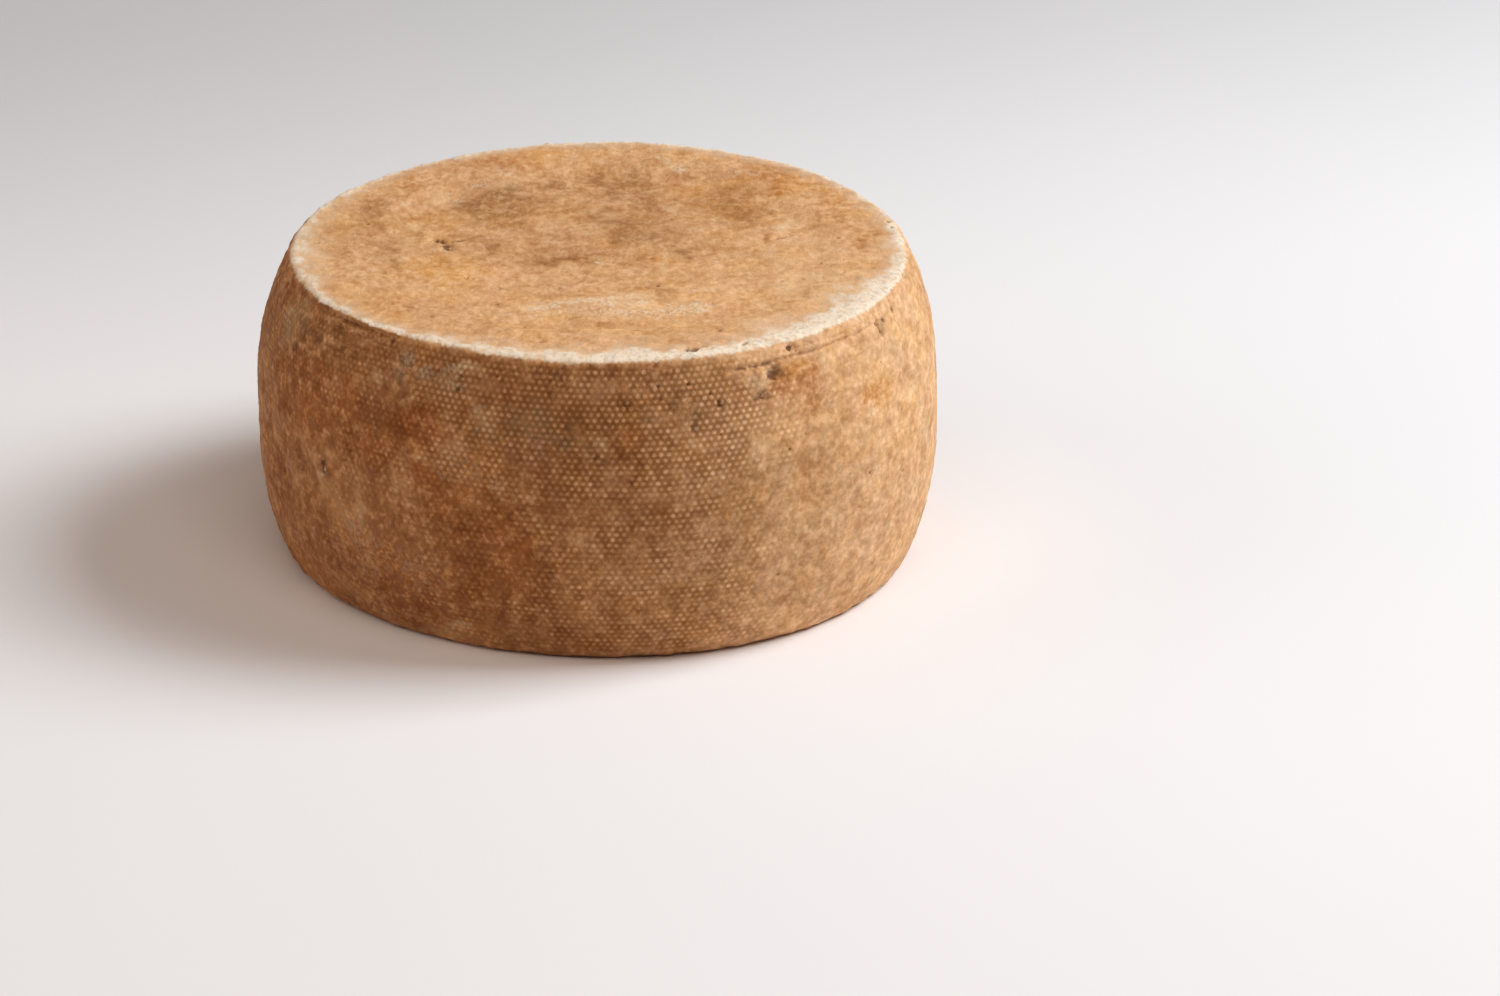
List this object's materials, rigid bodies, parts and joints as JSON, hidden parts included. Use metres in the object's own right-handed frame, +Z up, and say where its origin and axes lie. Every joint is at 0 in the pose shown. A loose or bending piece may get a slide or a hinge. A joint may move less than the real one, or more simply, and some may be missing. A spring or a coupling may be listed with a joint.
{
  "type": "cheese wheel",
  "caption": "Whole wheel of pressed semi-hard cheese: bulging side, chalky rim, shallow dish in the top face, flat base to lie on.",
  "frame": {"origin": "middle of the flat base, on the surface the wheel lies on", "axes": "+Z up along the wheel's axis, -Y towards the side shown at the front"},
  "size_m": [0.2498, 0.2506, 0.1138],
  "materials": {
    "rind": "dull dry natural rind, mottled ochre and brown, pale on the rim"
  },
  "bodies": {
    "root": {"cheese_wheel": "rind"}
  },
  "joints": []
}
